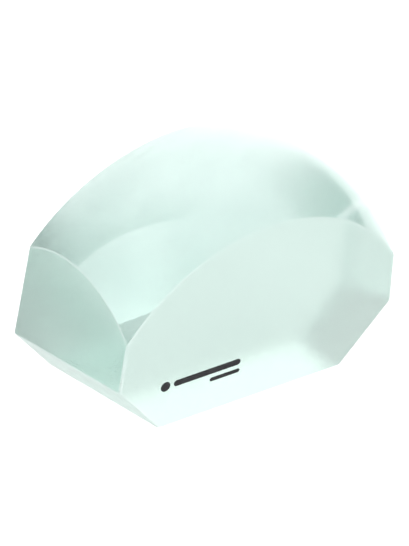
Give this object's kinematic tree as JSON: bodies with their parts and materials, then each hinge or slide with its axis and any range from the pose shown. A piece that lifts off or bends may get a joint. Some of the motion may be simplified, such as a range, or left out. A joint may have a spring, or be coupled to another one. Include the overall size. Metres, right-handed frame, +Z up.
{
  "type": "low vision magnifier",
  "caption": "Stand magnifier in one solid block of clear acrylic: polished spherical top, satin cut sides and a flat base that rests on the page.",
  "frame": {"origin": "middle of the flat base, at base height, on the plane of left-right symmetry", "axes": "+X to the reader's right along the long way of the block, +Y away from the reader, +Z up through the dome"},
  "size_m": [0.0918, 0.0547, 0.0655],
  "materials": {
    "clear_acrylic": "clear, faintly green, polished on top and satin on the cut sides",
    "black_ink": "matt printing ink"
  },
  "bodies": {
    "root": {"lens_block": "clear_acrylic", "print_disc": "black_ink", "print_bar_long": "black_ink", "print_bar_short": "black_ink"}
  },
  "joints": []
}
